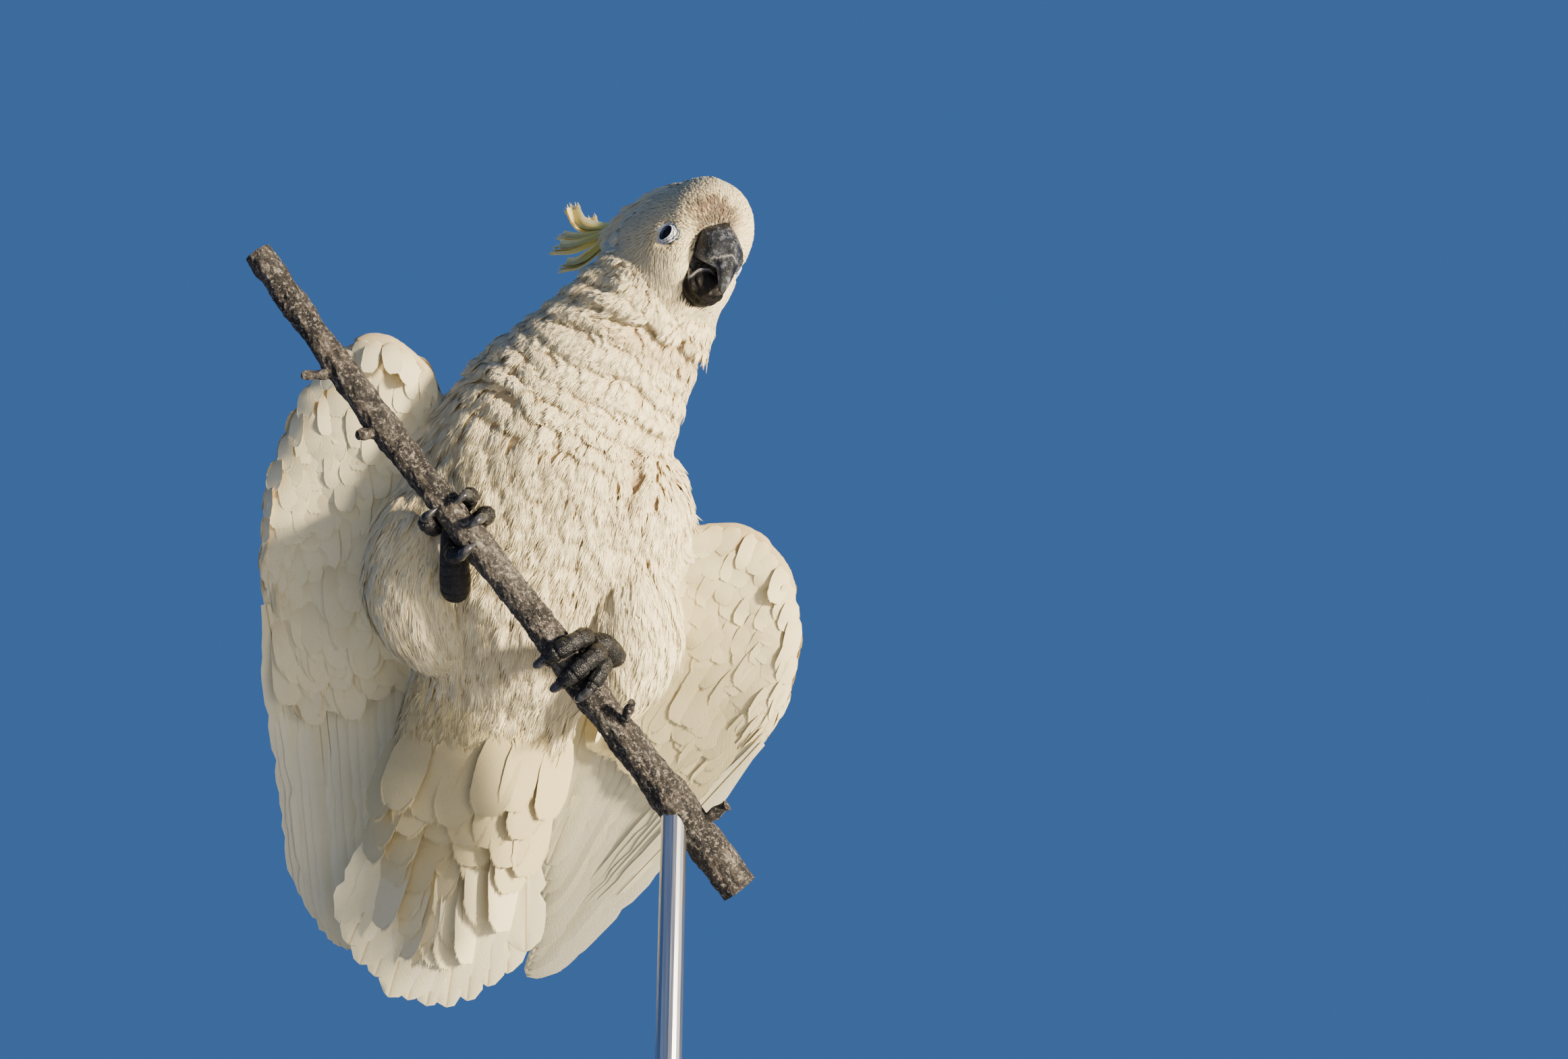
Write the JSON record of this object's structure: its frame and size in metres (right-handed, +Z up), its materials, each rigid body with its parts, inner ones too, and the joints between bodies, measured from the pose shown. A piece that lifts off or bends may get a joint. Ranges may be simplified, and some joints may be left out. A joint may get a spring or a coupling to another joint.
{
  "type": "sulphur-crested cockatoo model on a stand",
  "caption": "A life-size still model of a white crested parrot gripping a steep cut branch, wings half lifted, held over a round base by a plain rod",
  "frame": {"origin": "Centre of the underside of the round stand base, on the floor", "axes": "+Z up, +X to the bird's left, -Y the way its breast faces; the perch falls from -X to +X"},
  "size_m": [0.3, 0.3427, 0.7536],
  "materials": {
    "plumage": "matt white feathers with a warm cream cast",
    "crest_yellow": "matt sulphur yellow feathers",
    "bill_horn": "grey-black horn, scratched",
    "foot_scales": "black scaly skin with glossy claws",
    "eye_dark": "glossy dark brown",
    "bark": "rough grey-brown bark",
    "stand_wood": "dark stained wood, satin",
    "stand_steel": "brushed steel"
  },
  "bodies": {
    "root": {"head": "plumage", "neck": "plumage", "trunk": "plumage", "tail": "plumage", "tail_coverts": "plumage", "thigh_left": "plumage", "thigh_right": "plumage", "wing_left_arm": "plumage", "wing_left_secondaries": "plumage", "wing_left_primaries": "plumage", "wing_right_arm": "plumage", "wing_right_secondaries": "plumage", "wing_right_primaries": "plumage", "crest": "crest_yellow", "beak_upper": "bill_horn", "beak_lower": "bill_horn", "eye_left": "eye_dark", "eye_right": "eye_dark", "foot_left": "foot_scales", "foot_right": "foot_scales", "perch": "bark", "stand_base": "stand_wood", "stand_rod": "stand_steel", "stand_collar": "stand_steel"}
  },
  "joints": []
}
